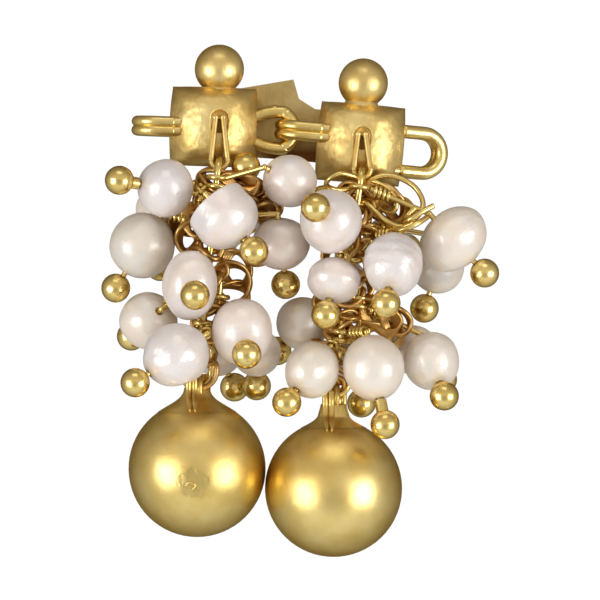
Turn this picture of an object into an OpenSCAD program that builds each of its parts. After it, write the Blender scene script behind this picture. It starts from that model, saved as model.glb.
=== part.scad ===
// Drop earring: two soldered barrels on a back plate with an ear post. Each barrel
// carries a chain dressed with pearls on ball-headed pins and a plain ball at its foot.
// X runs to the right, Y away from the viewer, Z up. The origin is where the post
// leaves the back of the plate.

/* [Barrels] */
// Width of a barrel's square body
barrel_w = 4.9; // [4.4:0.1:5.4]
// Height of a barrel's square body
barrel_h = 4.6; // [4.2:0.1:5.2]
// Thickness of the square base behind the dome
barrel_base = 0.9; // [0.7:0.1:1.2]
// Radius of the domed front
dome_r = 3.1; // [2.9:0.05:3.4]
// How far the dome stands in front of the base
dome_rise = 2.7; // [2.4:0.1:3]
// Distance between the middles of the two barrels
barrel_pitch = 8.62; // [8.2:0.1:9.4]
// How much lower the right barrel sits
barrel_step = 0.98; // [0.6:0.1:1.2]
// Diameter of the ball on top of a barrel
knob_d = 2.9; // [2.5:0.1:3.3]
// How far a top ball sinks into its solder collar
knob_seat = 0.28; // [0.2:0.02:0.4]

/* [Side eyes] */
// Outer width of a doubled wire eye
eye_d = 2.9; // [2.7:0.05:3.1]
// Thickness of the eye wire
eye_wire = 0.56; // [0.5:0.01:0.6]
// Length of the left outer eye between its barrel and its bend
left_reach = 0.85; // [0.6:0.05:1.2]
// Length of the right outer eye between its barrel and its bend
right_reach = 1.3; // [1:0.05:1.5]
// How far the two inner eyes reach through each other
eye_lap = 1.44; // [1.3:0.02:1.5]
// Turn of the right outer eye about the upright
eye_twist = 25; // [0:5:35]

/* [Back plate and post] */
// Width of the back plate
plate_w = 12.4; // [11.6:0.2:13.2]
// Height of the back plate
plate_h = 5; // [4.6:0.1:5.4]
// Thickness of the back plate
plate_t = 0.9; // [0.7:0.1:1.2]
// Diameter of the ear post
post_d = 0.9; // [0.7:0.05:1]
// Length of the ear post
post_l = 10.5; // [9:0.5:12]
// Diameter of the peg that holds a barrel in the plate
peg_d = 1.6; // [1.2:0.1:2]
// Gap between a barrel and the plate
seat_gap = 0.1; // [0.06:0.02:0.16]

/* [Bails and chains] */
// Thickness of the bail wire
bail_wire = 0.33; // [0.28:0.01:0.36]
// Outer width of a bail at its foot
bail_w = 1.3; // [1.24:0.01:1.4]
// How far a bail's foot hangs below the middle of its barrel
bail_drop = 2.3; // [2.25:0.05:2.8]
// Thickness of the chain wire
link_wire = 0.4; // [0.36:0.01:0.42]
// Outer width of a chain link
link_w = 1.9; // [1.85:0.01:2]
// Gap between two wires that bear on each other
wire_gap = 0.1; // [0.06:0.01:0.14]

/* [Pearls and pins] */
// Diameter that the pearl table's shares refer to
pearl_d = 3.6; // [3.4:0.05:3.7]
// Height of the cluster in pearl diameters
cluster_rows = 3.55; // [3.5:0.05:3.8]
// Thickness of the pin wire
pin_wire = 0.32; // [0.26:0.02:0.36]
// Diameter of a pin's ball head
head_d = 1.7; // [1.5:0.05:1.75]
// Inner width of the loop that a pin makes round the chain
loop_bore = 0.7; // [0.66:0.02:0.74]
// Distance between two loops on one side of a link
loop_pitch = 0.5; // [0.46:0.02:0.54]
// Straight pin wire in front of a pearl
pin_lead = 0.25; // [0.2:0.05:0.4]
// Clearance all round a pin in its pearl
bore_gap = 0.08; // [0.05:0.01:0.1]

/* [Drop balls] */
// Diameter of the large balls
drop_d = 8; // [7.6:0.1:8.05]
// Height of the left ball's solder cone above the ball
left_neck = 0.2; // [0.2:0.05:0.6]
// Height of the right ball's solder cone above the ball
right_neck = 0.86; // [0.6:0.02:1.2]
// Width of a solder cone at its top
neck_d = 1.5; // [1.3:0.1:1.8]
// Thickness of the drop's eye wire
drop_wire = 0.38; // [0.32:0.02:0.4]
// Middle radius of the drop's eye
drop_eye_r = 0.7; // [0.66:0.02:0.76]

/* [Hidden] */
$fn = 48;
GOLD = "#C9A850";
PEARL = "#EDE4DC";

// How far a cut runs past the face that it opens
clear = 1;

// Swelling of a bent or soldered wire joint, and the spacing of two wires soldered
// side by side, as shares of the wire
knuckle = 1.12;
soldered = 0.92;

// Number of links in each chain, as the pearl table counts them
links = 6;

// How far the side eyes and the top balls stand in front of the square base
eye_out = 0.8;

// Places of the two barrels, and of all that hangs from each. A bail's shift is
// across and up from below the middle of its barrel. Eye heights are against the
// middle of the barrel, left eye first.
left_x = -4.29;
left_z = -0.73;
right_x = left_x + barrel_pitch;
right_z = left_z - barrel_step;
left_tilt = 2;
right_tilt = 5;
left_bail_shift = [0.38, -0.17];
right_bail_shift = [0.08, 0.27];
left_eye_z = [-0.08, -0.07];
right_eye_z = [0.42, -0.24];

// How far each top ball stands off the middle of its barrel, across and up, and how
// close the legs of the eye between the barrels start, as a share of its bend
left_knob = [0.24, -0.08];
right_knob = [-0.14, 0.08];
inner_pinch = 0.45;

base_y = -plate_t - seat_gap;
dome_y = base_y - barrel_base - dome_rise + dome_r;
face_y = base_y - barrel_base - dome_rise;
eye_y = base_y - barrel_base - eye_out;
left_bail_x = left_x + left_bail_shift[0];
right_bail_x = right_x + right_bail_shift[0];
left_bail_z = left_z - bail_drop + left_bail_shift[1];
right_bail_z = right_z - bail_drop + right_bail_shift[1];

// Slot in a dome, and how far the bail stands in front of it at its foot. The bail's
// top is narrower than its foot by the taper.
slot_w = 0.8;
slot_h = 0.85;
slot_in = 0.7;
bail_out = 0.35;
bail_taper = 0.45;

// Solder collar under a top ball: widths at its foot and top, as shares of the ball
collar = [0.75, 0.62];

// Stalk between a pearl and a lifted pin head, as a share of the head
stalk = 0.42;

// Drop: play between its eye and the last link, how deep the eye sits in the solder
// cone, how deep the cone's root sits in the ball, and the root's share of the ball
eye_play = 0.23;
eye_seat = 0.39;
neck_root = 0.7;
neck_flare = 0.3;

// Wire eyes
eye_r = (eye_d - eye_wire) / 2;
eye_stack = eye_wire * soldered;
mid_x = (left_x + right_x) / 2;
inner_eye = eye_d / 2 - eye_lap / 2;

// Chains: each link hooks the one before, and the row ends at the drop's pivot.
left_lean = 5.6;
right_lean = 7.2;
chain_l = cluster_rows * pearl_d;
pitch = chain_l / links;
hook = link_wire + wire_gap;
link_l = pitch + hook;
link_r = (link_w - link_wire) / 2;
straight = link_l - 2 * link_r;

// A row of the pearl table. The link, its strand (-1 front or left, +1 back or right)
// and the loop's level carry the pin. Across, out and down place the pearl from the
// foot of the bail. Turn and lift point the pin's head: turn 0 is to the viewer, 90 to
// the right, and lift is up. Thick, tall and long are the pearl's own sizes, long being
// along the pin. Flat cuts the inner end away. Neck lifts the head off the pearl.
// Lengths are shares of pearl_d.
function link_no(p) = p[0];
function strand(p) = p[1];
function level(p) = p[2];
function across(p) = p[3];
function out(p) = p[4];
function down(p) = p[5];
function turn(p) = p[6];
function lift(p) = p[7];
function thick(p) = p[8];
function tall(p) = p[9];
function long(p) = p[10];
function flat(p) = p[11];
function neck(p) = p[12];

LEFT_PEARLS = [
  [1, -1, -1, -0.86, -0.36, 0.33, -70, 9, 0.94, 0.98, 0.92, 0, 0.08],
  [2, -1, -1, -1.25, 0.05, 1.25, -96, -58, 1.08, 1.08, 1.11, 0, 0],
  [2, -1, 1, 0.12, -0.86, 0.82, 61, -46, 1.08, 1.11, 0.96, 0.17, 0],
  [4, -1, 1, -0.46, -0.81, 1.9, 7, -12, 0.92, 1.16, 0.98, 0, 0],
  [1, -1, 1, 1.14, -0.28, 0.21, 120, -25, 0.92, 0.89, 0.89, 0, 0],
  [2, 1, 1, 1.0, -0.06, 1.22, 160, -72, 0.97, 0.92, 0.88, 0, 0],
  [3, 1, 1, 0.56, 0.58, 0.57, -14, 48, 0.84, 0.84, 0.84, 0, 0.12],
  [1, 1, -1, -0.96, 0.82, 0.67, -150, -50, 0.84, 0.84, 0.84, 0, 0],
  [4, -1, -1, -1.15, 0.17, 2.47, -155, -20, 0.97, 0.97, 0.97, 0, 0],
  [5, -1, -1, -0.68, -1.06, 3.01, -72, -33, 1.08, 1.08, 1.12, 0, 0],
  [5, -1, 1, 0.38, -0.78, 2.64, 6, -27, 1.0, 1.13, 1.06, 0, 0],
  [5, 1, -1, -0.04, 0.72, 2.96, 127, -60, 0.86, 0.86, 0.86, 0, 0],
  [5, 1, 1, 0.6, 0.14, 2.98, 180, -56, 0.81, 0.81, 0.81, 0, 0],
  [4, 1, -1, -0.41, 0.78, 1.97, -90, 34, 0.84, 0.84, 0.84, 0, 0]
];
RIGHT_PEARLS = [
  [2, -1, 1, -0.51, -0.9, 0.71, -19, 15, 1.03, 1.08, 1.05, 0, 0],
  [3, -1, 1, -0.46, -0.72, 1.66, -27, -63, 0.92, 0.89, 0.74, 0, 0],
  [2, 1, -1, 0.5, -0.92, 1.41, -14, -49, 1.03, 1.08, 1.14, 0, 0],
  [1, -1, 1, 1.47, -0.17, 1.0, 90, -47, 1.0, 1.22, 0.98, 0, 0],
  [2, 1, 1, 1.24, 0.75, 1.45, -90, -72, 0.89, 0.89, 0.89, 0, 0],
  [4, -1, -1, -0.96, 0.44, 2.37, -130, -39, 0.89, 0.89, 0.89, 0, 0],
  [5, -1, -1, -0.81, -0.75, 3.11, -48, -43, 0.84, 0.92, 0.98, 0, 0],
  [5, -1, 1, 0.18, -0.75, 3.07, 33, -70, 1.01, 1.0, 1.08, 0, 0.17],
  [4, 1, -1, 1.12, -0.28, 2.97, 23, -48, 0.94, 0.96, 0.98, 0, 0],
  [5, 1, 1, -0.11, 0.7, 2.97, 60, -80, 0.86, 0.86, 0.89, 0, 0],
  [1, 1, -1, -0.5, 0.8, 0.75, -100, -30, 0.84, 0.84, 0.84, 0, 0],
  [2, -1, -1, -0.3, 0.75, 1.71, 110, -50, 0.84, 0.84, 0.84, 0, 0],
  [3, 1, 1, 0.42, 0.75, 1.02, 150, -10, 0.8, 0.8, 0.8, 0, 0],
  [4, 1, 1, 0.84, 0.72, 2.8, 90, -45, 0.84, 0.84, 0.84, 0, 0]
];

// Unit vector along a pin, from loop to head
function aim(p) = [
  sin(turn(p)) * cos(lift(p)), -cos(turn(p)) * cos(lift(p)), sin(lift(p))
];

// Middle of a pearl, given the foot of its bail
function middle(p, foot) = foot + pearl_d * [across(p), out(p), -down(p)];

// Top of the first link's wire, which lies in the foot of the bail
function crown(foot) = foot + [0, 0, hook];

// A point of a leaning chain, given the foot of its bail
function leaning(v, foot, lean) = crown(foot) + [
  v[0] * cos(lean) + v[2] * sin(lean), v[1], -v[0] * sin(lean) + v[2] * cos(lean)
];

// Height of a link's middle against the crown of the chain
function link_z(k) = -link_l / 2 - (k - 1) * pitch;

// Middle of the loop that a pin makes round a link's strand
function loop_at(p, foot, lean) = leaning(
  [
    link_no(p) % 2 == 0 ? strand(p) * link_r : 0,
    link_no(p) % 2 == 1 ? strand(p) * link_r : 0,
    link_z(link_no(p)) + level(p) * loop_pitch / 2
  ],
  foot, lean
);

left_foot = [left_bail_x, face_y - bail_out, left_bail_z];
right_foot = [right_bail_x, face_y - bail_out, right_bail_z];

// A round bar between two points
module bar(from, to, d) {
  v = to - from;
  translate(from)
    rotate([0, acos(v[2] / norm(v)), atan2(v[1], v[0])])
      cylinder(h = norm(v), d = d);
}

// Half a ring of round wire, bent over the top in the XZ plane
module bend(r, wire) {
  rotate([90, 0, 0])
    rotate_extrude(angle = 180)
      translate([r, 0])
        circle(d = wire);
}

// Domed body on its square base, with a slot for the bail
module barrel_body(slot_x) {
  difference() {
    union() {
      translate([-barrel_w / 2, base_y - barrel_base, -barrel_h / 2])
        cube([barrel_w, barrel_base, barrel_h]);
      intersection() {
        translate([0, dome_y, 0])
          sphere(r = dome_r, $fn = 96);
        translate([-barrel_w / 2, face_y - clear, -barrel_h / 2])
          cube([barrel_w, dome_rise + clear + barrel_base / 2, barrel_h]);
      }
    }
    for (dz = [0, slot_h - slot_w])
      translate([slot_x, face_y + slot_in, dz])
        rotate([90, 0, 0])
          cylinder(h = dome_rise, d = slot_w);
  }
}

// Doubled wire eye that leaves a barrel towards +X and lies upright. Its legs start
// closer together than its bend when the pinch is less than one.
module eye(leg, pinch = 1) {
  for (s = [-1, 1])
    translate([leg, s * eye_stack / 2, 0]) {
      rotate([0, 90, 0])
        bend(eye_r, eye_wire);
      for (t = [-1, 1]) {
        bar([-leg - eye_wire, 0, t * eye_r * pinch], [0, 0, t * eye_r], eye_wire);
        if (pinch < 1)
          translate([0, 0, t * eye_r])
            sphere(d = eye_wire * knuckle);
      }
    }
}

// Narrow wire loop soldered into the dome's slot, open at its foot
module bail(foot, top) {
  r = (bail_w - bail_wire) / 2;
  apex = [top[0], face_y + slot_in / 2, top[2]];
  translate(foot + [0, 0, r])
    rotate([0, 180, 0])
      bend(r, bail_wire);
  for (s = [-1, 1]) {
    shoulder = foot + [s * r, 0, r];
    neck = [top[0] + s * r * bail_taper, face_y, top[2] - bail_wire];
    bar(shoulder, neck, bail_wire);
    bar(neck, apex, bail_wire);
    for (joint = [shoulder, neck])
      translate(joint)
        sphere(d = bail_wire * knuckle);
  }
}

// One barrel unit with its top ball, side eyes and peg, about its own middle
module barrel_unit(slot_x, left_leg, right_leg, heights, knob, pinch, twist) {
  knob_z = barrel_h / 2 + knob_d / 2 - knob_seat;
  barrel_body(slot_x);
  translate([knob[0], eye_y, knob_z + knob[1]])
    sphere(d = knob_d);
  translate([knob[0], eye_y, barrel_h / 2 - knob_seat])
    cylinder(h = knob_seat * 2, d1 = knob_d * collar[0], d2 = knob_d * collar[1]);
  translate([-barrel_w / 2, eye_y, heights[0]])
    rotate([90, 0, 180])
      eye(left_leg);
  translate([barrel_w / 2, eye_y, heights[1]])
    rotate([0, 0, twist])
      eye(right_leg, pinch);
  translate([0, -plate_t - seat_gap - barrel_base / 2, 0])
    rotate([-90, 0, 0])
      cylinder(h = plate_t + seat_gap + barrel_base / 2, d = peg_d);
}

module left_barrel() {
  color(GOLD)
    union() {
      translate([left_x, 0, left_z])
        rotate([0, left_tilt, 0])
          barrel_unit(
            left_bail_x - left_x, left_reach,
            mid_x - inner_eye - left_x - barrel_w / 2, left_eye_z, left_knob,
            inner_pinch, 0
          );
      bail(left_foot, [left_bail_x, 0, left_z + slot_h]);
    }
}

module right_barrel() {
  color(GOLD)
    union() {
      translate([right_x, 0, right_z])
        rotate([0, right_tilt, 0])
          barrel_unit(
            right_bail_x - right_x, right_x - barrel_w / 2 - mid_x - inner_eye,
            right_reach, right_eye_z, right_knob, 1, eye_twist
          );
      bail(right_foot, [right_bail_x, 0, right_z + slot_h]);
    }
}

// Flat plate behind both barrels, drilled for their pegs, with the ear post
module back_plate() {
  outline = [
    [-0.5, 0.2], [0.033, 0.422], [0.059, 0.194], [0.135, 0.074],
    [0.5, -0.02], [0.5, -0.64], [0, -0.52], [-0.5, -0.44]
  ];
  color(GOLD)
    difference() {
      union() {
        rotate([90, 0, 0])
          linear_extrude(plate_t)
            polygon([for (p = outline) [p[0] * plate_w, p[1] * plate_h]]);
        translate([0, -plate_t / 2, 0])
          rotate([-90, 0, 0])
            cylinder(h = post_l + plate_t / 2 - post_d / 2, d = post_d);
        translate([0, post_l - post_d / 2, 0])
          sphere(d = post_d);
      }
      for (p = [[left_x, left_z], [right_x, right_z]])
        translate([p[0], clear, p[1]])
          rotate([90, 0, 0])
            cylinder(h = plate_t + 2 * clear, d = peg_d + seat_gap);
    }
}

// One long chain link in the XZ plane
module link() {
  for (s = [0, 180])
    rotate([0, s, 0])
      translate([0, 0, straight / 2])
        bend(link_r, link_wire);
  for (s = [-1, 1])
    translate([s * link_r, 0, -straight / 2])
      cylinder(h = straight, d = link_wire);
}

module chain(foot, lean) {
  color(GOLD)
    translate(crown(foot))
      rotate([0, lean, 0])
        for (k = [1 : links])
          translate([0, 0, link_z(k)])
            rotate([0, 0, k % 2 == 1 ? 90 : 0])
              link();
}

module left_chain() {
  chain(left_foot, left_lean);
}

module right_chain() {
  chain(right_foot, right_lean);
}

// Ball-headed pin: a loop round the chain, a bent stem and the shaft in its pearl
module pin(p, foot, lean) {
  d = aim(p);
  c = middle(p, foot);
  half = long(p) * pearl_d / 2;
  loop = loop_at(p, foot, lean);
  elbow = c - d * (half + pin_lead);
  head = c + d * (half + head_d / 2 + bore_gap + neck(p) * pearl_d);
  axis = [sin(lean), 0, cos(lean)];
  v = elbow - loop;
  side = v - axis * (v * axis);
  loop_r = (loop_bore + pin_wire) / 2;
  start = loop + side * loop_r / norm(side);
  translate(loop)
    rotate([0, lean, 0])
      rotate_extrude()
        translate([loop_r, 0])
          circle(d = pin_wire);
  bar(start, elbow, pin_wire);
  bar(elbow, head, pin_wire);
  for (joint = [start, elbow])
    translate(joint)
      sphere(d = pin_wire * knuckle);
  translate(head)
    rotate([0, 0, turn(p)])
      rotate([90 - lift(p), 0, 0])
        sphere(d = head_d);
  if (neck(p) > 0)
    bar(c + d * (half + bore_gap), head, head_d * stalk);
}

module pins(table, foot, lean, first, last) {
  color(GOLD)
    for (p = table)
      if (link_no(p) >= first && link_no(p) <= last)
        pin(p, foot, lean);
}

module left_upper_pins() {
  pins(LEFT_PEARLS, left_foot, left_lean, 1, 3);
}

module left_lower_pins() {
  pins(LEFT_PEARLS, left_foot, left_lean, 4, links);
}

module right_upper_pins() {
  pins(RIGHT_PEARLS, right_foot, right_lean, 1, 3);
}

module right_lower_pins() {
  pins(RIGHT_PEARLS, right_foot, right_lean, 4, links);
}

// Drilled pearl, a little different in each of its three sizes
module pearl(p, foot) {
  size = pearl_d * [thick(p), tall(p), long(p)];
  color(PEARL)
    translate(middle(p, foot))
      rotate([0, 0, turn(p)])
        rotate([90 - lift(p), 0, 0])
          difference() {
            scale(size / 2)
              sphere(r = 1);
            cylinder(h = size[2] + 2 * clear, d = pin_wire + 2 * bore_gap, center = true);
            if (flat(p) > 0)
              translate([-size[0] / 2, -size[1] / 2, -size[2] / 2 - clear])
                cube([size[0], size[1], flat(p) * size[2] + clear]);
          }
}

module left_pearl(k) {
  pearl(LEFT_PEARLS[k], left_foot);
}

module right_pearl(k) {
  pearl(RIGHT_PEARLS[k], right_foot);
}

// Large ball with its solder cone and doubled eye, hung at the pivot
module drop(pivot, neck) {
  eye_top = link_wire / 2 + eye_play + drop_wire / 2;
  eye_z = eye_top - drop_eye_r;
  ball_top = eye_z - drop_eye_r - drop_wire / 2 + eye_seat - neck;
  ball_z = ball_top - drop_d / 2;
  color(GOLD)
    translate(pivot)
      union() {
        translate([0, 0, ball_z])
          sphere(d = drop_d, $fn = 96);
        translate([0, 0, ball_top - neck_root])
          cylinder(h = neck + neck_root, d1 = drop_d * neck_flare, d2 = neck_d);
        for (s = [-1, 1])
          translate([s * drop_wire * soldered / 2, 0, eye_z])
            rotate([0, 90, 0])
              rotate_extrude()
                translate([drop_eye_r, 0])
                  circle(d = drop_wire);
      }
}

module left_drop() {
  drop(leaning([0, 0, -chain_l - hook], left_foot, left_lean), left_neck);
}

module right_drop() {
  drop(leaning([0, 0, -chain_l - hook], right_foot, right_lean), right_neck);
}

back_plate();
left_barrel();
right_barrel();
left_chain();
right_chain();
left_upper_pins();
left_lower_pins();
right_upper_pins();
right_lower_pins();
left_pearl(0);  // pearl_01
left_pearl(1);  // pearl_02
left_pearl(2);  // pearl_03
left_pearl(3);  // pearl_04
left_pearl(4);  // pearl_05
left_pearl(5);  // pearl_06
left_pearl(6);  // pearl_07
left_pearl(7);  // pearl_08
left_pearl(8);  // pearl_09
left_pearl(9);  // pearl_10
left_pearl(10);  // pearl_11
left_pearl(11);  // pearl_12
left_pearl(12);  // pearl_13
left_pearl(13);  // pearl_14
right_pearl(0);  // pearl_15
right_pearl(1);  // pearl_16
right_pearl(2);  // pearl_17
right_pearl(3);  // pearl_18
right_pearl(4);  // pearl_19
right_pearl(5);  // pearl_20
right_pearl(6);  // pearl_21
right_pearl(7);  // pearl_22
right_pearl(8);  // pearl_23
right_pearl(9);  // pearl_24
right_pearl(10);  // pearl_25
right_pearl(11);  // pearl_26
right_pearl(12);  // pearl_27
right_pearl(13);  // pearl_28
left_drop();
right_drop();
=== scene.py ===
"""Looks of the cluster earring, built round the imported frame. The scene is in metres,
and sizes and points here are in millimetres. The pearl tables are those of the part's
source: their lengths are shares of PEARL_D and their angles are in degrees."""

import math

import bpy
from mathutils import Matrix, Vector, noise


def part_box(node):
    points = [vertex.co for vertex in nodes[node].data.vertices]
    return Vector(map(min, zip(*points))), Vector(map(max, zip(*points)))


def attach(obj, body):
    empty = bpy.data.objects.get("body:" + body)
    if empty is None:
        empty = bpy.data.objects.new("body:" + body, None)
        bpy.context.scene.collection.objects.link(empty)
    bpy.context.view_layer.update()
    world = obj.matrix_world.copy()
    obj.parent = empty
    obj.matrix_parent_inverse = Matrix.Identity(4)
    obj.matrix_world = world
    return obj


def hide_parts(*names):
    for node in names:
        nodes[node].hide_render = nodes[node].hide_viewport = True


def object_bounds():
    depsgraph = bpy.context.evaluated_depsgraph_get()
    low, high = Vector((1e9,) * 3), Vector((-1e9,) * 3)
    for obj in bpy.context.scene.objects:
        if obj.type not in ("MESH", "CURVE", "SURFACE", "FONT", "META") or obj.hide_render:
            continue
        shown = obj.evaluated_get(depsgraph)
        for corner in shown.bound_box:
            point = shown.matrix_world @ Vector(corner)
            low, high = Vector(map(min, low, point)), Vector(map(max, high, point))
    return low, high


MM = 0.001
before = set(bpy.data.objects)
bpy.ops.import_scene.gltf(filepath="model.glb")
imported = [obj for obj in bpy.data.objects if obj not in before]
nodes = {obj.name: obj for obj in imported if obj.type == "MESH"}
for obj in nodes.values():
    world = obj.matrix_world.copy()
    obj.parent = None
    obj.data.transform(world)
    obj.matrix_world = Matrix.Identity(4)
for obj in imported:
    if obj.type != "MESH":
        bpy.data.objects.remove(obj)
cad_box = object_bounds()

# Sizes repeated from the source, in millimetres
PEARL_D = 3.6
PIN_WIRE = 0.32
LOOP_R = 0.51
LOOP_PITCH = 0.5
PIN_LEAD = 0.25
BORE_GAP = 0.08
LINK_R = 0.75
LINKS = 6
HOOK = 0.5
CHAIN_L = 3.55 * PEARL_D
PITCH = CHAIN_L / LINKS
LINK_L = PITCH + HOOK
FOOT = {"left": Vector((-3.91, -4.95, -3.20)), "right": Vector((4.41, -4.95, -3.74))}
LEAN = {"left": math.radians(5.6), "right": math.radians(7.2)}

# Columns of the pearl tables. The link, its strand and the loop's level carry the pin.
# Across, out and down place the pearl from the foot of the bail. Turn and lift point
# the pin's head. Thick, tall and long are the pearl's own sizes, long being along the
# pin. Flat cuts the inner end away. Neck lifts the head off the pearl.
LINK, STRAND, LEVEL, ACROSS, OUT, DOWN, TURN, LIFT, THICK, TALL, LONG, FLAT, NECK = range(13)
LEFT_PEARLS = [
    [1, -1, -1, -0.86, -0.36, 0.33, -70, 9, 0.94, 0.98, 0.92, 0, 0.08],
    [2, -1, -1, -1.25, 0.05, 1.25, -96, -58, 1.08, 1.08, 1.11, 0, 0],
    [2, -1, 1, 0.12, -0.86, 0.82, 61, -46, 1.08, 1.11, 0.96, 0.17, 0],
    [4, -1, 1, -0.46, -0.81, 1.9, 7, -12, 0.92, 1.16, 0.98, 0, 0],
    [1, -1, 1, 1.14, -0.28, 0.21, 120, -25, 0.92, 0.89, 0.89, 0, 0],
    [2, 1, 1, 1.0, -0.06, 1.22, 160, -72, 0.97, 0.92, 0.88, 0, 0],
    [3, 1, 1, 0.56, 0.58, 0.57, -14, 48, 0.84, 0.84, 0.84, 0, 0.12],
    [1, 1, -1, -0.96, 0.82, 0.67, -150, -50, 0.84, 0.84, 0.84, 0, 0],
    [4, -1, -1, -1.15, 0.17, 2.47, -155, -20, 0.97, 0.97, 0.97, 0, 0],
    [5, -1, -1, -0.68, -1.06, 3.01, -72, -33, 1.08, 1.08, 1.12, 0, 0],
    [5, -1, 1, 0.38, -0.78, 2.64, 6, -27, 1.0, 1.13, 1.06, 0, 0],
    [5, 1, -1, -0.04, 0.72, 2.96, 127, -60, 0.86, 0.86, 0.86, 0, 0],
    [5, 1, 1, 0.6, 0.14, 2.98, 180, -56, 0.81, 0.81, 0.81, 0, 0],
    [4, 1, -1, -0.41, 0.78, 1.97, -90, 34, 0.84, 0.84, 0.84, 0, 0],
]
RIGHT_PEARLS = [
    [2, -1, 1, -0.51, -0.9, 0.71, -19, 15, 1.03, 1.08, 1.05, 0, 0],
    [3, -1, 1, -0.46, -0.72, 1.66, -27, -63, 0.92, 0.89, 0.74, 0, 0],
    [2, 1, -1, 0.5, -0.92, 1.41, -14, -49, 1.03, 1.08, 1.14, 0, 0],
    [1, -1, 1, 1.47, -0.17, 1.0, 90, -47, 1.0, 1.22, 0.98, 0, 0],
    [2, 1, 1, 1.24, 0.75, 1.45, -90, -72, 0.89, 0.89, 0.89, 0, 0],
    [4, -1, -1, -0.96, 0.44, 2.37, -130, -39, 0.89, 0.89, 0.89, 0, 0],
    [5, -1, -1, -0.81, -0.75, 3.11, -48, -43, 0.84, 0.92, 0.98, 0, 0],
    [5, -1, 1, 0.18, -0.75, 3.07, 33, -70, 1.01, 1.0, 1.08, 0, 0.17],
    [4, 1, -1, 1.12, -0.28, 2.97, 23, -48, 0.94, 0.96, 0.98, 0, 0],
    [5, 1, 1, -0.11, 0.7, 2.97, 60, -80, 0.86, 0.86, 0.89, 0, 0],
    [1, 1, -1, -0.5, 0.8, 0.75, -100, -30, 0.84, 0.84, 0.84, 0, 0],
    [2, -1, -1, -0.3, 0.75, 1.71, 110, -50, 0.84, 0.84, 0.84, 0, 0],
    [3, 1, 1, 0.42, 0.75, 1.02, 150, -10, 0.8, 0.8, 0.8, 0, 0],
    [4, 1, 1, 0.84, 0.72, 2.8, 90, -45, 0.84, 0.84, 0.84, 0, 0],
]
PEARLS = [("left", p) for p in LEFT_PEARLS] + [("right", p) for p in RIGHT_PEARLS]


def aim(p):
    """Direction of a pearl's pin, from its loop to its head."""
    turn, lift = math.radians(p[TURN]), math.radians(p[LIFT])
    flat = math.cos(lift)
    return Vector((math.sin(turn) * flat, -math.cos(turn) * flat, math.sin(lift)))


def middle(side, p):
    return FOOT[side] + PEARL_D * Vector((p[ACROSS], p[OUT], -p[DOWN]))


def leaning(side, v):
    """Point v of an upright chain, turned about the bail's foot as the chain leans."""
    a = LEAN[side]
    return FOOT[side] + Vector((0, 0, HOOK)) + Vector(
        (v[0] * math.cos(a) + v[2] * math.sin(a), v[1], -v[0] * math.sin(a) + v[2] * math.cos(a))
    )


def loop_at(side, p):
    z = -LINK_L / 2 - (p[LINK] - 1) * PITCH + p[LEVEL] * LOOP_PITCH / 2
    off = p[STRAND] * LINK_R
    return leaning(side, (off, 0, z) if p[LINK] % 2 == 0 else (0, off, z))


# Node helpers
def material(name):
    m = bpy.data.materials.new(name)
    m.use_nodes = True
    t = m.node_tree
    return m, t, t.nodes["Principled BSDF"]


def add(tree, kind, **values):
    n = tree.nodes.new(kind)
    for k, v in values.items():
        setattr(n, k, v)
    return n


def mm_coords(tree, scale=(1, 1, 1)):
    """Object coordinates in millimetres, stretched by scale."""
    tex = add(tree, "ShaderNodeTexCoord")
    mapping = add(tree, "ShaderNodeMapping")
    mapping.inputs["Scale"].default_value = [1000 * s for s in scale]
    tree.links.new(tex.outputs["Object"], mapping.inputs["Vector"])
    return mapping.outputs["Vector"]


def noise_tex(tree, coords, scale, detail=3.0, rough=0.5):
    n = add(tree, "ShaderNodeTexNoise")
    set_inputs(n, {"Scale": scale, "Detail": detail, "Roughness": rough})
    tree.links.new(coords, n.inputs["Vector"])
    return n.outputs["Fac"]


def ramp(tree, fac, stops):
    r = add(tree, "ShaderNodeValToRGB")
    e = r.color_ramp.elements
    while len(e) < len(stops):
        e.new(0.5)
    for item, (pos, colour) in zip(e, stops):
        item.position = pos
        item.color = (*colour, 1)
    tree.links.new(fac, r.inputs["Fac"])
    return r.outputs["Color"]


def bump(tree, height, distance, normal=None):
    b = add(tree, "ShaderNodeBump")
    set_inputs(b, {"Strength": 1.0, "Distance": distance * MM})
    tree.links.new(height, b.inputs["Height"])
    if normal is not None:
        tree.links.new(normal, b.inputs["Normal"])
    return b.outputs["Normal"]


def set_inputs(node, values):
    for key, v in values.items():
        node.inputs[key].default_value = v


def map_range(tree, value, lo, hi, a, b):
    m = add(tree, "ShaderNodeMapRange")
    set_inputs(m, {"From Min": lo, "From Max": hi, "To Min": a, "To Max": b})
    tree.links.new(value, m.inputs["Value"])
    return m.outputs["Result"]


def math_node(tree, operation, a, b):
    m = add(tree, "ShaderNodeMath", operation=operation)
    tree.links.new(a, m.inputs[0])
    tree.links.new(b, m.inputs[1])
    return m.outputs["Value"]


def tint(mat, share, colour):
    """Mixes a colour over the base colour of a material, by share."""
    tree = mat.node_tree
    base = tree.nodes["Principled BSDF"].inputs["Base Color"]
    mix = add(tree, "ShaderNodeMixRGB")
    tree.links.new(share, mix.inputs["Fac"])
    tree.links.new(base.links[0].from_socket, mix.inputs["Color1"])
    mix.inputs["Color2"].default_value = (*colour, 1)
    tree.links.new(mix.outputs["Color"], base)


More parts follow.
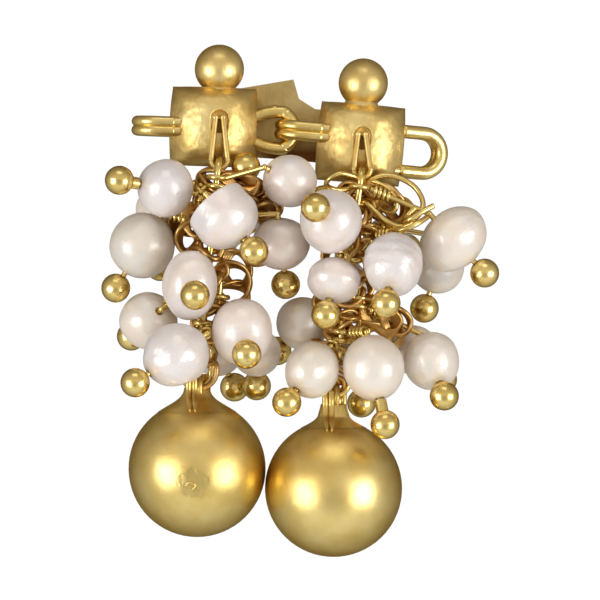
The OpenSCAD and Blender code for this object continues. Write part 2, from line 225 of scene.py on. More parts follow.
# Colours of the gilt, as ramps over a broad noise
GOLD_STOPS = [(0.3, (0.74, 0.54, 0.17)), (0.5, (0.82, 0.63, 0.23)), (0.7, (0.88, 0.71, 0.30))]
BODY_STOPS = [(0.3, (0.70, 0.50, 0.17)), (0.5, (0.80, 0.61, 0.24)), (0.7, (0.88, 0.71, 0.32))]
# The plate's gilt is darker than the rest: painted shade, for the plate lies back in shadow
SHADED_PLATE_STOPS = [(0.3, (0.50, 0.36, 0.14)), (0.5, (0.60, 0.46, 0.20)), (0.7, (0.68, 0.54, 0.26))]
# Darker gilt for the wire turns among the pearls: painted shade, a shaded copy of the gold
SHADED_WIRE_STOPS = [(0.35, (0.50, 0.28, 0.08)), (0.65, (0.72, 0.48, 0.19))]


def gold(name, rough, grain, grain_scale, coarse, spread, dent=None, stops=GOLD_STOPS):
    """Gilt metal: grain is the fine brushing's depth in mm, its scale is per mm on
    each axis, coarse is the depth of the hammered unevenness, spread is how far the
    roughness strays. A dent is a shallow hollow, as (place, radius, depth)."""
    m, t, s = material(name)
    coords = mm_coords(t)
    broad = noise_tex(t, coords, 0.55, 3)
    s.inputs["Metallic"].default_value = 1
    s.inputs["Specular Tint"].default_value = (0.78, 0.58, 0.36, 1)
    t.links.new(ramp(t, broad, stops), s.inputs["Base Color"])
    fine = noise_tex(t, mm_coords(t, grain_scale), 1, 4, 0.65)
    uneven = map_range(t, fine, 0.3, 0.7, rough - spread, rough + spread)
    t.links.new(uneven, s.inputs["Roughness"])
    n = bump(t, noise_tex(t, coords, 1.1, 3), coarse)
    n = bump(t, fine, grain, n)
    if dent:
        place, radius, depth = dent
        tex = add(t, "ShaderNodeTexCoord")
        d = add(t, "ShaderNodeVectorMath", operation="DISTANCE")
        t.links.new(tex.outputs["Object"], d.inputs[0])
        d.inputs[1].default_value = [v * MM for v in place]
        wobble = noise_tex(t, mm_coords(t, (1.6, 1.6, 1.2)), 1, 2)
        far = math_node(t, "ADD", map_range(t, d.outputs["Value"], 0, 4 * radius * MM, 0, 4),
                        map_range(t, wobble, 0.3, 0.7, -0.2, 0.2))
        hollow = ramp(t, far, [(0.0, (0, 0, 0)), (0.4, (0.3, 0.3, 0.3)), (1, (1, 1, 1))])
        n = bump(t, hollow, depth, n)
    t.links.new(n, s.inputs["Normal"])
    return m


satin = gold("gold_satin", 0.36, 0.004, (7, 7, 7), 0.010, 0.05)
satin_dent = gold("gold_satin_dented", 0.36, 0.004, (7, 7, 7), 0.010, 0.05,
                  dent=((-5.4, -8.9, -21.5), 0.9, 0.06))
brushed = gold("gold_brushed", 0.4, 0.015, (5, 5, 1.6), 0.03, 0.06, stops=BODY_STOPS)
wire_gold = gold("gold_wire", 0.24, 0.004, (5, 5, 5), 0.012, 0.05)
pin_gold = gold("gold_pin", 0.24, 0.003, (5, 5, 5), 0.02, 0.05)
# Painted shade: the wire turns deep among the pearls get this darker gilt
shaded_wire_gold = gold("gold_wire_shaded", 0.34, 0.01, (5, 5, 5), 0.02, 0.06, stops=SHADED_WIRE_STOPS)
shaded_plate_gold = gold("gold_plate_shaded", 0.46, 0.02, (6, 6, 1.5), 0.04, 0.08, stops=SHADED_PLATE_STOPS)

# Painted shade: the plate is darkened low down and towards the right barrel, over these spans,
# where it lies in shadow
SHADE_Z, SHADE_X, PLATE_SHADE = (-1.5, -2.2), (-2.2, -0.9), (0.16, 0.07, 0.02)
t = shaded_plate_gold.node_tree
place = add(t, "ShaderNodeSeparateXYZ")
t.links.new(add(t, "ShaderNodeTexCoord").outputs["Object"], place.inputs["Vector"])
shade_share = math_node(t, "MULTIPLY",
                 map_range(t, place.outputs["Z"], SHADE_Z[0] * MM, SHADE_Z[1] * MM, 0, 1),
                 map_range(t, place.outputs["X"], SHADE_X[0] * MM, SHADE_X[1] * MM, 0, 1))
tint(shaded_plate_gold, shade_share, PLATE_SHADE)

MATERIALS = {"back_plate": shaded_plate_gold, "left_barrel": brushed, "right_barrel": brushed,
             "left_chain": wire_gold, "right_chain": wire_gold,
             "left_upper_pins": pin_gold, "left_lower_pins": pin_gold,
             "right_upper_pins": pin_gold, "right_lower_pins": pin_gold,
             "left_drop": satin_dent, "right_drop": satin}
for name, mat in MATERIALS.items():
    mesh = nodes[name].data
    mesh.materials.clear()
    mesh.materials.append(mat)


# Body colours of the pearls, and which one each pearl has
TINTS = {"l": (0.79, 0.74, 0.73), "p": (0.81, 0.74, 0.70),
         "c": (0.82, 0.75, 0.66), "g": (0.76, 0.71, 0.63)}
TINT_OF = "lglpppcccl" "plcclllcgc" "gcccccgp"
NACRE = {"Roughness": 0.36, "IOR": 2.6, "Coat Weight": 0.35, "Coat Roughness": 0.26,
         "Subsurface Weight": 0.15, "Subsurface Radius": (1.0, 0.7, 0.6),
         "Subsurface Scale": 0.5 * MM}


def pearl_material(name, k, relief):
    m, t, s = material(name)
    coords = mm_coords(t)
    base = TINTS[TINT_OF[k - 1]]
    cool = (base[0] * 0.96, base[1] * 0.98, base[2] * 1.03)
    warm = (base[0] * 1.02, base[1] * 0.96, base[2] * 0.93)
    hue = ramp(t, noise_tex(t, coords, 0.45, 2), [(0.35, cool), (0.5, base), (0.66, warm)])
    t.links.new(hue, s.inputs["Base Color"])
    set_inputs(s, NACRE)
    n = bump(t, noise_tex(t, coords, 1.3, 3), 0.07 * relief)
    n = bump(t, noise_tex(t, coords, 6, 3), 0.007 * relief, n)
    t.links.new(n, s.inputs["Normal"])
    return m


# How uneven each pearl is, where not plain, and its grooves, each as its place along
# the pin, its width and its depth, in shares of the pearl
PLAIN = (1.0, [])
STYLE = {
    3: (1.0, [(-0.2, 0.25, 0.02)]),
    4: (1.2, [(0.35, 0.2, 0.03)]),
    10: (1.5, [(0.1, 0.2, 0.02)]),
    15: (1.0, [(0.3, 0.15, 0.025)]),
    16: (1.2, [(0.0, 0.2, 0.03)]),
    17: (1.6, [(-0.3, 0.15, 0.025), (0.1, 0.14, 0.03), (0.45, 0.12, 0.02)]),
    22: (0.7, []),
}
AROUND, ALONG = 72, 56
HOLE_DEPTH = 0.7


def smooth_max(a, b, k):
    """The larger of two values, blended over a width k."""
    h = max(k - abs(a - b), 0) / k
    return max(a, b) + h * h * k / 4


def new_object(name, verts, faces, mat, smooth=True):
    mesh = bpy.data.meshes.new(name)
    mesh.from_pydata(verts, [], faces)
    mesh.update()
    mesh.materials.append(mat)
    if smooth:
        mesh.polygons.foreach_set("use_smooth", [True] * len(mesh.polygons))
    obj = bpy.data.objects.new(name, mesh)
    bpy.context.scene.collection.objects.link(obj)
    return obj


def pearl_point(u, half, relief, grooves, seed, flat):
    """Where the unit direction u meets the uneven skin of a pearl."""
    s = 1.015 - 0.075 * relief * (0.5 + 0.5 * noise.noise(u * 1.15 + seed))
    s -= 0.014 * relief * (0.5 + 0.5 * noise.noise(u * 3.1 + seed * 2))
    for place, width, depth in grooves:
        shift = place + 0.12 * noise.noise(Vector((u.x, u.y, 0)) * 1.4 + seed)
        s -= depth * math.exp(-(((u.z - shift) / width) ** 2))
    v = Vector((half[0] * u.x * s, half[1] * u.y * s, half[2] * u.z * s))
    if flat:
        # the inner half swells, then ends in a flat face
        if u.z < 0:
            swell = 1 / max(0.3, math.sqrt(1 - u.z * u.z)) ** 0.8
            v.x, v.y = v.x * swell, v.y * swell
        v.z = smooth_max(v.z, -half[2] * (0.95 - 2 * flat), 0.07)
    return v


def hole_ring(edge, bore, inward):
    """The drilled hole, a short way in from the ring of points at its edge."""
    ring = []
    for v in edge:
        across = Vector((v.x, v.y, 0))
        across.length = bore
        ring.append(Vector((across.x, across.y, v.z + inward * HOLE_DEPTH)))
    return ring


def pearl(k, side, p):
    relief, grooves = STYLE.get(k, PLAIN)
    half = [PEARL_D / 2 * p[i] for i in (THICK, TALL, LONG)]
    bore = PIN_WIRE / 2 + BORE_GAP
    spin = (Matrix.Rotation(math.radians(p[TURN]), 4, "Z")
            @ Matrix.Rotation(math.radians(90 - p[LIFT]), 4, "X"))
    centre = middle(side, p)
    seed = Vector((k * 7.31, k * 3.17, k * 5.53))
    phi0 = math.asin(min(0.9, bore / half[0]))
    rings = []
    for i in range(ALONG + 1):
        phi = phi0 + (math.pi - 2 * phi0) * i / ALONG
        ring = []
        for j in range(AROUND):
            th = 2 * math.pi * j / AROUND
            u = Vector((math.sin(phi) * math.cos(th), math.sin(phi) * math.sin(th), math.cos(phi)))
            ring.append(pearl_point(u, half, relief, grooves, seed, p[FLAT]))
        rings.append(ring)
    rings = [hole_ring(rings[0], bore, -1), *rings, hole_ring(rings[-1], bore, 1)]
    verts = [(centre + spin @ v) * MM for ring in rings for v in ring]
    faces = []
    for i in range(len(rings) - 1):
        for j in range(AROUND):
            a, b = i * AROUND + j, i * AROUND + (j + 1) % AROUND
            faces.append((a, a + AROUND, b + AROUND, b))
    name = "pearl_%02d" % k
    mat = pearl_material("nacre_%02d" % k, k, relief)
    obj = new_object("baroque_" + name, verts, faces, mat)
    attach(obj, "root")
    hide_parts(name)


for k, (side, p) in enumerate(PEARLS, 1):
    lo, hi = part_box("pearl_%02d" % k)
    off = (Vector(lo) + Vector(hi)) / 2 - middle(side, p) * MM
    assert off.length < 0.3 * MM, (k, off)
    pearl(k, side, p)


# Wires swept along points in millimetres
def tube(points, radius, sides=10, closed=False, taper=None):
    pts = [Vector(p) for p in points]
    n = len(pts)
    verts, faces = [], []
    normal = None
    for i, p in enumerate(pts):
        if closed:
            tangent = pts[(i + 1) % n] - pts[i - 1]
        else:
            tangent = pts[min(i + 1, n - 1)] - pts[max(i - 1, 0)]
        tangent.normalize()
        if normal is None:
            normal = tangent.orthogonal().normalized()
        else:
            normal = (normal - tangent * normal.dot(tangent)).normalized()
        side = tangent.cross(normal)
        r = radius * (taper[i] if taper else 1)
        for j in range(sides):
            a = 2 * math.pi * j / sides
            verts.append((p + normal * (math.cos(a) * r) + side * (math.sin(a) * r)) * MM)
    for i in range(n if closed else n - 1):
        for j in range(sides):
            a, b = i * sides + j, i * sides + (j + 1) % sides
            c, d = ((i + 1) % n) * sides + (j + 1) % sides, ((i + 1) % n) * sides + j
            faces.append((a, b, c, d))
    if not closed:
        faces.append(tuple(reversed(range(sides))))
        faces.append(tuple(range((n - 1) * sides, n * sides)))
    return verts, faces


def wires(name, tubes, mat, body):
    verts, faces = [], []
    for v, f in tubes:
        base = len(verts)
        verts += v
        faces += [tuple(i + base for i in face) for face in f]
    obj = new_object(name, verts, faces, mat)
    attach(obj, body)


def helix(start, end, radius, turns, phase=0.0, per_turn=14):
    axis = end - start
    d = axis.normalized()
    x = d.orthogonal().normalized()
    y = d.cross(x)
    n = max(8, int(turns * per_turn))
    return [
        start + axis * (i / n)
        + x * (radius * math.cos(phase + 2 * math.pi * turns * i / n))
        + y * (radius * math.sin(phase + 2 * math.pi * turns * i / n))
        for i in range(n + 1)
    ]


# Wire wrapped round the pins, from near the loop towards the pearl, but for bare ones
WRAP_WIRE, WRAP_FROM, WRAP_LONGEST, WRAP_SHORTEST, WRAP_SPARE = 0.24, 0.3, 1.1, 0.3, 0.35
BARE_PINS = {5}
for side in ("left", "right"):
    coils = []
    for k, (s, p) in enumerate(PEARLS, 1):
        if s != side or k in BARE_PINS:
            continue
        d = aim(p)
        half = p[LONG] * PEARL_D / 2
        loop = loop_at(side, p)
        elbow = middle(side, p) - d * (half + PIN_LEAD)
        a = LEAN[side]
        axis = Vector((math.sin(a), 0, math.cos(a)))
        v = elbow - loop
        flat = v - axis * v.dot(axis)
        start = loop + flat.normalized() * LOOP_R
        stem = elbow - start
        length = min(WRAP_LONGEST, stem.length - WRAP_SPARE)
        if length < WRAP_SHORTEST:
            continue
        u = stem.normalized()
        a0 = start + u * WRAP_FROM
        coil = helix(a0, a0 + u * length, (PIN_WIRE + WRAP_WIRE) / 2 + 0.01,
                     length / (WRAP_WIRE + 0.03), k * 1.7)
        coils.append(tube(coil, WRAP_WIRE / 2, 8))
    wires(side + "_pin_wraps", coils, wire_gold, "root")


def smooth_path(points, closed=False, per=10):
    """Catmull-Rom curve through points."""
    pts = [Vector(p) for p in points]
    n = len(pts)
    out = []
    for i in range(n if closed else n - 1):
        if closed:
            p0, p1, p2, p3 = (pts[(i + j) % n] for j in (-1, 0, 1, 2))
        else:
            p0, p1, p2, p3 = pts[max(i - 1, 0)], pts[i], pts[i + 1], pts[min(i + 2, n - 1)]
        for j in range(per):
            u = j / per
            out.append(0.5 * (2 * p1 + (p2 - p0) * u + (2 * p0 - 5 * p1 + 4 * p2 - p3) * u * u
                              + (3 * p1 - p0 - 3 * p2 + p3) * u ** 3))
    if not closed:
        out.append(pts[-1])
    return out


# Hammered front of each barrel: a cushion over the dome, open at the slot
BARREL_W, BARREL_H, RISE = 4.9, 4.6, 2.7
BASE_Y = -1.9
DOME_R, DOME_SINK = 3.1, 0.4
SLOT_W, SLOT_TOP, SLOT_FLOOR = 0.8, 0.45, 2.1
# Middle of each barrel, and its tilt in degrees
BARRELS = {"left": (Vector((-4.29, 0, -0.73)), 2), "right": (Vector((4.33, 0, -1.71)), 5)}
hammered = gold("gold_hammered", 0.47, 0.022, (5, 5, 2.4), 0.05, 0.06, stops=BODY_STOPS)
# Painted shade: a dark brown mixed in by this attribute darkens the fronts at their edges and in
# the slot
shade_share = add(hammered.node_tree, "ShaderNodeAttribute", attribute_name="edge_and_slot_shade").outputs["Fac"]
tint(hammered, shade_share, (0.30, 0.17, 0.05))


def front_point(u, v, slot_x, seed):
    """Depth of the front at u across and v up, each from -1 to 1, and its painted shade, darkest at
    the edges and in the slot.
    """
    px, pz = u * BARREL_W / 2, v * BARREL_H / 2
    dome = math.sqrt(max(DOME_R ** 2 - (px * px + pz * pz), 0)) - DOME_SINK
    cushion = RISE * (1 - abs(u) ** 2.8) ** 0.5 * (1 - abs(v) ** 5) ** 0.4
    depth = smooth_max(dome, cushion, 0.35) + 0.02
    at = Vector((px, seed, pz))
    depth += 0.05 * noise.noise(at * 1.1) + 0.022 * noise.noise(at * 3.3)
    # slot: a round-topped groove that narrows towards the bottom
    dx = abs(px - slot_x)
    half = SLOT_W / 2
    if pz > SLOT_TOP:
        dx = math.hypot(px - slot_x, pz - SLOT_TOP)
    if pz < SLOT_TOP - 0.2:
        half = max(0.0, half * (1 + (pz - SLOT_TOP) / 4))
    groove = min(1, max(0, (half + 0.12 - dx) / 0.16))
    depth += groove * (SLOT_FLOOR - depth)
    return depth, min(1, 0.45 * max(abs(u), abs(v)) ** 9 + groove)


def barrel_front(side, slot_x, seed):
    barrel, tilt = BARRELS[side]
    turn = Matrix.Rotation(math.radians(tilt), 4, "Y")
    nu, nv = 110, 104
    verts, faces, edge_and_slot_shade = [], [], []
    for i in range(nv + 1):
        for j in range(nu + 1):
            u, v = 2 * j / nu - 1, 2 * i / nv - 1
            # edges get more rows than the middle
            u, v = math.sin(u * math.pi / 2), math.sin(v * math.pi / 2)
            depth, shade = front_point(u, v, slot_x, seed)
            edge_and_slot_shade.append(shade)
            if i in (0, nv) or j in (0, nu):
                depth = -0.05
            px, pz = u * BARREL_W / 2, v * BARREL_H / 2
            bulge = 0.1 * u ** 3 * (1 - v * v)
            p = turn @ Vector((px * 1.004 + bulge, 0, pz * 1.004))
            face = Vector((barrel.x, BASE_Y - depth, barrel.z))
            verts.append((face + Vector((p.x, 0, p.z))) * MM)
    for i in range(nv):
        for j in range(nu):
            a = i * (nu + 1) + j
            faces.append((a, a + 1, a + nu + 2, a + nu + 1))
    obj = new_object(side + "_barrel_front", verts, faces, hammered)
    obj.data.attributes.new("edge_and_slot_shade", "FLOAT", "POINT").data.foreach_set("value", edge_and_slot_shade)
    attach(obj, "root")


barrel_front("left", 0.38, 3.7)
barrel_front("right", 0.08, 9.1)

# Full round wire of the eyes at the barrels' sides, soft where the wire bends
eye_gold = gold("gold_eye", 0.32, 0.006, (5, 5, 5), 0.03, 0.06)
EYE_Y, EYE_R, EYE_STEP, EYE_IN = -2.7, 1.17, 0.2576, 0.56


def eye_wires(name, side, edge, height, leg, pinch, wire, turn):
    """Doubled eye at a barrel's edge. Its legs start at pinch times the bend's radius."""
    barrel, tilt = BARRELS[side]
    lean = Matrix.Rotation(math.radians(tilt), 4, "Y")
    foot = Vector((edge, EYE_Y, height))
    # the legs start inside the barrel, and a pinched eye swings wide past its corners
    ends = [(x, EYE_R * (pinch + (1 - pinch) * (x + EYE_IN) / (leg + EYE_IN)))
            for x in (-0.2, leg - 0.47)]
    first = 0 if pinch == 1 else 22
    half = [(leg + EYE_R * math.sin(a), EYE_R * math.cos(a))
            for a in (math.radians(first + (180 - 2 * first) * k / 12) for k in range(13))]
    line = ends + half + [(x, -z) for x, z in reversed(ends)]
    tubes = []
    for step in (-EYE_STEP, EYE_STEP):
        path = smooth_path([Vector((x, step, z)) for x, z in line], per=4)
        tubes.append(tube([barrel + lean @ (foot + turn @ q) for q in path], wire / 2, 14))
    wires(name, tubes, eye_gold, "root")


EDGE = BARREL_W / 2
FLAT_EYE = Matrix(((-1, 0, 0), (0, 0, 1), (0, 1, 0)))
UPRIGHT_EYE = Matrix.Identity(3)
TWISTED_EYE = Matrix.Rotation(math.radians(25), 3, "Z")
eye_wires("left_outer_eye", "left", -EDGE, -0.08, 0.85, 1, 0.66, FLAT_EYE)
eye_wires("left_inner_eye", "left", EDGE, -0.07, 1.13, 0.45, 0.72, UPRIGHT_EYE)
eye_wires("right_inner_eye", "right", -EDGE, 0.42, 1.13, 1, 0.66, FLAT_EYE)
eye_wires("right_outer_eye", "right", EDGE, -0.24, 1.3, 1, 0.78, TWISTED_EYE)


# Turns of fine wire round each chain, between the pearls
def tangle(side, count, seed):
    tubes = []
    for i in range(count):
        f = (i + 0.5) / count
        z = -1.2 - f * (CHAIN_L - 1.0)
        h = Vector((i * 1.37 + seed, seed * 2.1, i * 0.71))
        n1, n2, n3 = (noise.noise(h + Vector((c, 0, 0))) for c in (0.3, 11.3, 23.7))
        mid = leaning(side, (0.55 * n1, -0.25 + 0.5 * n2, z))
        r1, r2 = 0.95 + 0.5 * abs(n3), 0.62 + 0.4 * abs(n2)
        tilt = (Matrix.Rotation(1.3 * n1 + 0.6, 3, "X") @ Matrix.Rotation(1.5 * n2, 3, "Y")
                @ Matrix.Rotation(3 * n3, 3, "Z"))
        pts = [mid + tilt @ Vector((r1 * math.cos(a), r2 * math.sin(a), 0.25 * math.sin(2 * a + i)))
               for a in (2 * math.pi * j / 30 for j in range(30))]
        tubes.append(tube(pts, 0.13 + 0.02 * (i % 3), closed=True))
    wires(side + "_chain_turns", tubes, shaded_wire_gold, "root")


tangle("left", 15, 2.3)
tangle("right", 16, 7.9)


def fan(centre, radii, tilts, count, wire):
    """Turns of one wire round a chain, fanned out a little."""
    out = []
    for i in range(count):
        f = i / max(count - 1, 1)
        m = (Matrix.Rotation(tilts[0] + 0.5 * f, 3, "Y")
             @ Matrix.Rotation(tilts[1] - 0.35 * f, 3, "X"))
        r1, r2 = radii[0] - 0.12 * f, radii[1] - 0.2 * f
        mid = Vector(centre) + Vector((0.12 * f, 0.3 * f, -0.1 * f))
        ring = [mid + m @ Vector((r1 * math.cos(a), 0.1 * math.sin(3 * a), r2 * math.sin(a)))
                for a in (2 * math.pi * j / 36 for j in range(36))]
        out.append(tube(ring, wire, closed=True))
    return out


# Turns in the gaps: middle, radii, tilts in radians and number of turns
TURN_R = 0.13
LEFT_TURNS = [
    ((-3.3, -5.2, -9.9), (1.15, 1.35), (0.3, 0.35), 6),
    ((-5.4, -4.9, -7.3), (1.0, 1.1), (-0.9, 0.3), 6),
    ((-6.0, -4.6, -6.3), (0.9, 0.8), (0.2, 0.5), 5),
    ((-4.5, -5.4, -5.2), (0.9, 0.6), (0.4, 0.5), 5),
    ((-3.3, -4.9, -4.6), (1.0, 0.5), (-0.3, 0.2), 4),
    ((-2.3, -4.6, -5.6), (0.8, 0.8), (0.5, 0.1), 4),
    ((-4.7, -4.6, -12.2), (0.8, 1.1), (0.2, 0.2), 4),
    ((-5.2, -5.2, -6.2), (1.0, 0.9), (1.2, 0.1), 6),
    ((-5.9, -4.2, -7.0), (0.7, 1.2), (-0.4, -0.3), 5),
    ((-3.0, -4.5, -9.0), (1.1, 0.9), (1.0, -0.2), 5),
    ((-3.9, -4.6, -3.9), (1.3, 0.7), (0.1, 0.6), 6),
    ((-2.0, -4.2, -6.6), (0.6, 1.0), (-0.5, 0.2), 4),
    ((-3.4, -4.4, -10.6), (1.2, 0.8), (-0.4, 0.5), 5),
    ((-1.6, -4.3, -8.0), (0.8, 0.9), (0.6, -0.3), 5),
    ((-2.2, -4.4, -4.2), (0.9, 0.6), (0.3, 0.4), 5),
    ((-2.7, -5.5, -3.95), (1.1, 0.45), (0.15, 0.5), 6),
    ((-1.2, -5.0, -5.7), (0.7, 0.5), (-0.3, 0.3), 5),
    ((-0.9, -4.4, -5.4), (0.6, 0.7), (-0.4, 0.2), 4),
]
RIGHT_TURNS = [
    ((5.3, -5.2, -11.7), (1.5, 0.8), (0.45, 0.5), 5),
    ((3.4, -5.4, -12.2), (0.9, 0.7), (-0.5, 0.4), 5),
    ((6.4, -5.2, -12.1), (0.9, 0.8), (0.6, 0.3), 4),
    ((4.6, -5.7, -7.4), (0.9, 0.9), (0.2, 0.4), 5),
    ((5.9, -5.0, -5.2), (1.2, 0.9), (0.8, 0.4), 7),
    ((3.0, -4.8, -8.3), (0.9, 0.8), (-0.2, 0.3), 4),
    ((4.1, -4.8, -9.9), (1.0, 0.7), (0.5, 0.2), 5),
    ((4.9, -4.7, -6.0), (1.2, 1.0), (-0.5, 0.6), 7),
    ((6.6, -4.6, -5.6), (0.9, 0.7), (0.3, -0.4), 5),
    ((4.4, -4.6, -8.6), (1.2, 0.9), (0.9, -0.2), 5),
    ((4.5, -4.6, -12.6), (1.7, 0.7), (0.1, 0.8), 6),
    ((3.9, -4.6, -4.9), (1.0, 0.8), (0.7, 0.3), 5),
    ((1.9, -4.4, -6.3), (0.8, 0.8), (0.4, 0.3), 5),
    ((2.4, -4.4, -11.0), (0.8, 0.8), (-0.5, 0.3), 5),
    ((6.2, -4.3, -8.9), (0.9, 0.8), (0.5, 0.3), 5),
    ((5.6, -4.4, -13.0), (1.2, 0.7), (-0.3, 0.2), 4),
    ((2.0, -4.6, -12.8), (0.9, 0.6), (0.4, 0.3), 4),
]
for side, table in (("left", LEFT_TURNS), ("right", RIGHT_TURNS)):
    turns = [ring for row in table for ring in fan(*row, TURN_R)]
    wires(side + "_turns", turns, shaded_wire_gold, "root")

# Loose rings of wire and two tails under the right barrel
FLAT_RING = [
    (4.5, -4.95, -3.98), (4.1, -5.5, -3.75), (3.2, -5.9, -3.52), (2.55, -5.9, -3.8),
    (2.32, -5.6, -4.15), (2.7, -5.2, -4.4), (3.4, -4.95, -4.45), (4.1, -4.8, -4.25),
]
BIG_RING = [
    (4.15, -4.95, -5.08), (4.6, -5.7, -5.2), (5.2, -6.15, -5.75), (5.85, -6.3, -6.3),
    (6.6, -6.2, -6.58), (7.4, -5.9, -6.25), (7.95, -5.5, -5.4), (7.65, -5.1, -4.5),
    (6.9, -4.9, -3.9), (5.9, -4.85, -3.62), (5.0, -4.9, -3.85), (4.4, -4.95, -4.5),
]
INNER_RING = [
    (4.9, -5.0, -4.0), (5.8, -5.3, -4.3), (6.4, -5.5, -5.0), (6.3, -5.5, -5.7),
    (5.7, -5.2, -5.7), (5.1, -4.9, -5.0),
]
TAILS = [
    [(8.55, -6.5, -5.4), (7.9, -6.75, -5.75), (7.25, -6.75, -6.15), (6.9, -6.4, -6.3),
     (7.0, -5.9, -6.0), (7.5, -5.7, -5.5)],
    [(8.2, -6.2, -6.05), (7.5, -6.75, -6.5), (6.7, -6.7, -6.8), (6.1, -6.1, -6.7),
     (5.6, -5.4, -6.3), (5.1, -5.1, -6.0)],
]
loose = [tube(smooth_path(points, True), r, closed=True)
         for points, r in ((FLAT_RING, 0.15), (BIG_RING, 0.16), (INNER_RING, 0.13))]
loose += [tube(smooth_path(points), 0.16) for points in TAILS]
wires("right_loose_rings", loose, wire_gold, "root")

# Crown of each large ball: a concave solder flare and the soldered ends of its eye
PIVOT = {"left": Vector((-5.2059, -4.95, -15.9166)), "right": Vector((2.74557, -4.95, -16.4153))}
NECK_H = {"left": 0.2, "right": 0.86}
DROP_R, EYE_DROP = 4.0, 0.58
# Radius of each flare where it leaves the ball, and its height over the ball's top
FLARE = {"left": (2.3, 0.7), "right": (1.9, 0.9)}
NECK_R, FLARE_SKIN = 0.74, 0.012
crown_gold = gold("gold_crown", 0.36, 0.005, (5, 5, 5), 0.04, 0.06)


def lathe(profile, axis_at, sides=64):
    verts, faces = [], []
    for r, z in profile:
        for j in range(sides):
            a = 2 * math.pi * j / sides
            verts.append((axis_at + Vector((r * math.cos(a), r * math.sin(a), z))) * MM)
    for i in range(len(profile) - 1):
        for j in range(sides):
            a, b = i * sides + j, i * sides + (j + 1) % sides
            faces.append((a, b, b + sides, a + sides))
    return verts, faces


def flare_profile(r0, high):
    """Curve that leaves the ball along its own slope and ends upright at the neck."""
    z0 = math.sqrt(DROP_R ** 2 - r0 ** 2) - DROP_R
    slope = r0 / math.sqrt(DROP_R ** 2 - r0 ** 2)
    joint = (r0 - 0.75, z0 + 0.75 * slope)
    pts = ((r0, z0), joint, (NECK_R + 0.04, max(0.0, joint[1])), (NECK_R, high))
    profile = []
    for i in range(25):
        u = i / 24
        w = ((1 - u) ** 3, 3 * u * (1 - u) ** 2, 3 * u * u * (1 - u), u ** 3)
        profile.append([sum(k * q[n] for k, q in zip(w, pts)) + FLARE_SKIN for n in (0, 1)])
    return profile + [(0.3, high + 0.06)]


for side in ("left", "right"):
    top = PIVOT[side] + Vector((0, 0, -EYE_DROP - NECK_H[side]))
    r0, high = FLARE[side]
    verts, faces = lathe(flare_profile(r0, high), top)
    flare = new_object(side + "_ball_flare", verts, faces, crown_gold)
    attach(flare, side + "_drop")
    tails = []
    for dx in (-0.48, -0.12):
        pts = [(dx, -0.76, high + 0.75), (dx, -0.82, high + 0.3), (dx, -0.86, high - 0.2),
               (dx, -1.1, 0.12), (dx * 0.9, -1.6, -0.22), (dx * 0.8, -2.2, -0.6)]
        path = smooth_path([top + Vector(q) for q in pts])
        n = len(path)
        fade = [min(1, 0.25 + 4 * (n - 1 - i) / n) for i in range(n)]
        tails.append(tube(path, 0.19, 12, taper=fade))
    for dx in (0.3, 0.6):
        pts = [(dx, 0.35, high + 0.8), (dx, 0.3, high + 0.3), (dx, 0.3, high - 0.3)]
        tails.append(tube(smooth_path([top + Vector(q) for q in pts]), 0.19, 12))
    wires(side + "_ball_eye_ends", tails, crown_gold, side + "_drop")

# Short bright burr in the scuffed spot of the left ball, across and up from its middle
BURR = [(-0.62, -0.95), (-0.5, -0.78), (-0.28, -0.72), (-0.1, -0.84), (-0.08, -1.0),
        (-0.22, -1.1), (-0.36, -1.04)]
ball = PIVOT["left"] - Vector((0, 0, EYE_DROP + NECK_H["left"] + DROP_R))
path = smooth_path([ball + Vector((x, -math.sqrt(DROP_R ** 2 - x * x - z * z), z))
                    for x, z in BURR], per=6)
n = len(path) - 1
swell = [0.25 + 0.75 * math.sin(math.pi * i / n) for i in range(n + 1)]
wires("left_ball_burr", [tube(path, 0.08, 8, taper=swell)], crown_gold, "left_drop")

# Stage: pale floor under the hanging earring, a white dome seen by the camera alone
floor_mat, t, s = material("floor")
set_inputs(s, {"Base Color": (0.9, 0.9, 0.9, 1), "Roughness": 0.9,
               "Emission Color": (1, 1, 1, 1), "Emission Strength": 0.5})
FLOOR_R, FLOOR_Z = 0.6, -0.06
ring = [(FLOOR_R * math.cos(a), FLOOR_R * math.sin(a), FLOOR_Z)
        for a in (2 * math.pi * i / 64 for i in range(64))]
floor = new_object("floor", ring, [tuple(range(64))], floor_mat, smooth=False)

dome_mat, t, s = material("dome")
set_inputs(s, {"Base Color": (0, 0, 0, 1), "Emission Color": (1, 1, 1, 1),
               "Emission Strength": 1.0})
SKY_R, SKY_ROWS, SKY_SIDES = 2, 16, 32
verts, faces = [], []
for i in range(SKY_ROWS + 1):
    for j in range(SKY_SIDES):
        # the first and last rows stay just off the poles
        phi, th = math.pi * (i + 0.001) / (SKY_ROWS + 0.002), 2 * math.pi * j / SKY_SIDES
        out = SKY_R * math.sin(phi)
        verts.append((out * math.cos(th), out * math.sin(th), SKY_R * math.cos(phi)))
for i in range(SKY_ROWS):
    for j in range(SKY_SIDES):
        a, b = i * SKY_SIDES + j, i * SKY_SIDES + (j + 1) % SKY_SIDES
        faces.append((a, b, b + SKY_SIDES, a + SKY_SIDES))
dome = new_object("dome", verts, faces, dome_mat)
dome.visible_diffuse = dome.visible_glossy = False
dome.visible_transmission = dome.visible_shadow = False
floor.visible_glossy = False

world = bpy.data.worlds.new("studio")
bpy.context.scene.world = world
world.use_nodes = True
t = world.node_tree
tex = add(t, "ShaderNodeTexCoord")
split = add(t, "ShaderNodeSeparateXYZ")
t.links.new(tex.outputs["Generated"], split.inputs["Vector"])
back = map_range(t, split.outputs["Y"], -0.7, 0.9, 0.7, 0.14)
height = map_range(t, split.outputs["Z"], -0.7, 0.9, 1.5, 0.8)
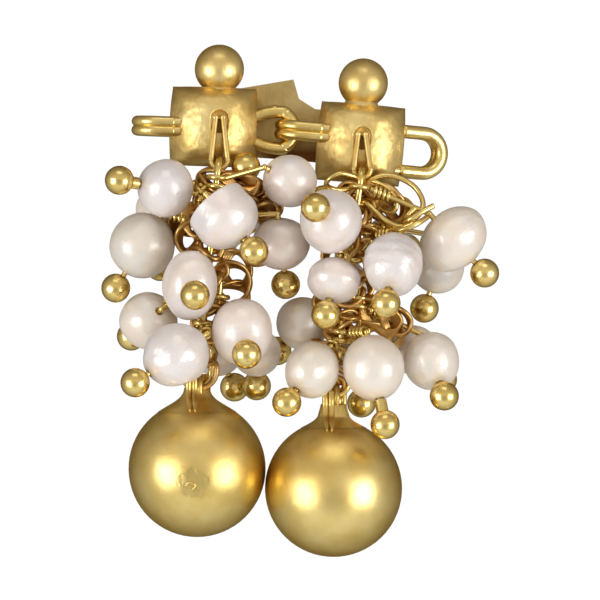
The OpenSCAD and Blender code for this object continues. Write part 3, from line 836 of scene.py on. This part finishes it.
# the dark spot that a camera leaves in the reflections
toward = add(t, "ShaderNodeVectorMath", operation="DOT_PRODUCT")
t.links.new(tex.outputs["Generated"], toward.inputs[0])
toward.inputs[1].default_value = (0, -0.94, -0.342)
spot = map_range(t, toward.outputs["Value"], 0.86, 0.98, 1, 0.5)
level = math_node(t, "MULTIPLY", math_node(t, "MULTIPLY", back, height), spot)
warmth = ramp(t, map_range(t, split.outputs["Z"], -0.5, 0.7, 0, 1),
              [(0.0, (1, 0.99, 0.96)), (1.0, (1, 0.88, 0.74))])
t.links.new(warmth, t.nodes["Background"].inputs["Color"])
t.links.new(level, t.nodes["Background"].inputs["Strength"])


def area(name, place, target, size, power):
    data = bpy.data.lights.new(name, "AREA")
    data.shape = "RECTANGLE"
    data.size, data.size_y = size
    data.energy = power
    obj = bpy.data.objects.new(name, data)
    bpy.context.scene.collection.objects.link(obj)
    obj.location = place
    obj.rotation_mode = "QUATERNION"
    obj.rotation_quaternion = (Vector(target) - Vector(place)).to_track_quat("-Z", "Y")


centre = (cad_box[0] + cad_box[1]) / 2
for side in (-1, 1):
    angle = math.radians(50 * side)
    place = centre + Vector((0.5 * math.sin(angle), -0.5 * math.cos(angle), -0.07))
    area("softbox_%s" % ("left" if side < 0 else "right"), place, centre, (0.28, 0.28), 1.45)
area("top", centre + Vector((0, -0.25, 0.5)), centre, (0.3, 0.2), 0.25)

# The camera looks straight on, from as far as gives the photograph's flat view
PX_PER_MM, IMAGE_PX, SENSOR, DISTANCE = 17.15625, 600, 36, 0.4
camera = bpy.data.cameras.new("camera")
camera.sensor_width = SENSOR
camera.lens = SENSOR * DISTANCE / (IMAGE_PX / PX_PER_MM * MM)
camera.clip_start, camera.clip_end = 0.01, 10
view = bpy.data.objects.new("camera", camera)
bpy.context.scene.collection.objects.link(view)
front = -4.95 * MM
view.location = (centre.x, front - DISTANCE, centre.z)
view.rotation_euler = (math.pi / 2, 0, 0)
bpy.context.scene.camera = view
bpy.context.scene.view_settings.view_transform = "Standard"
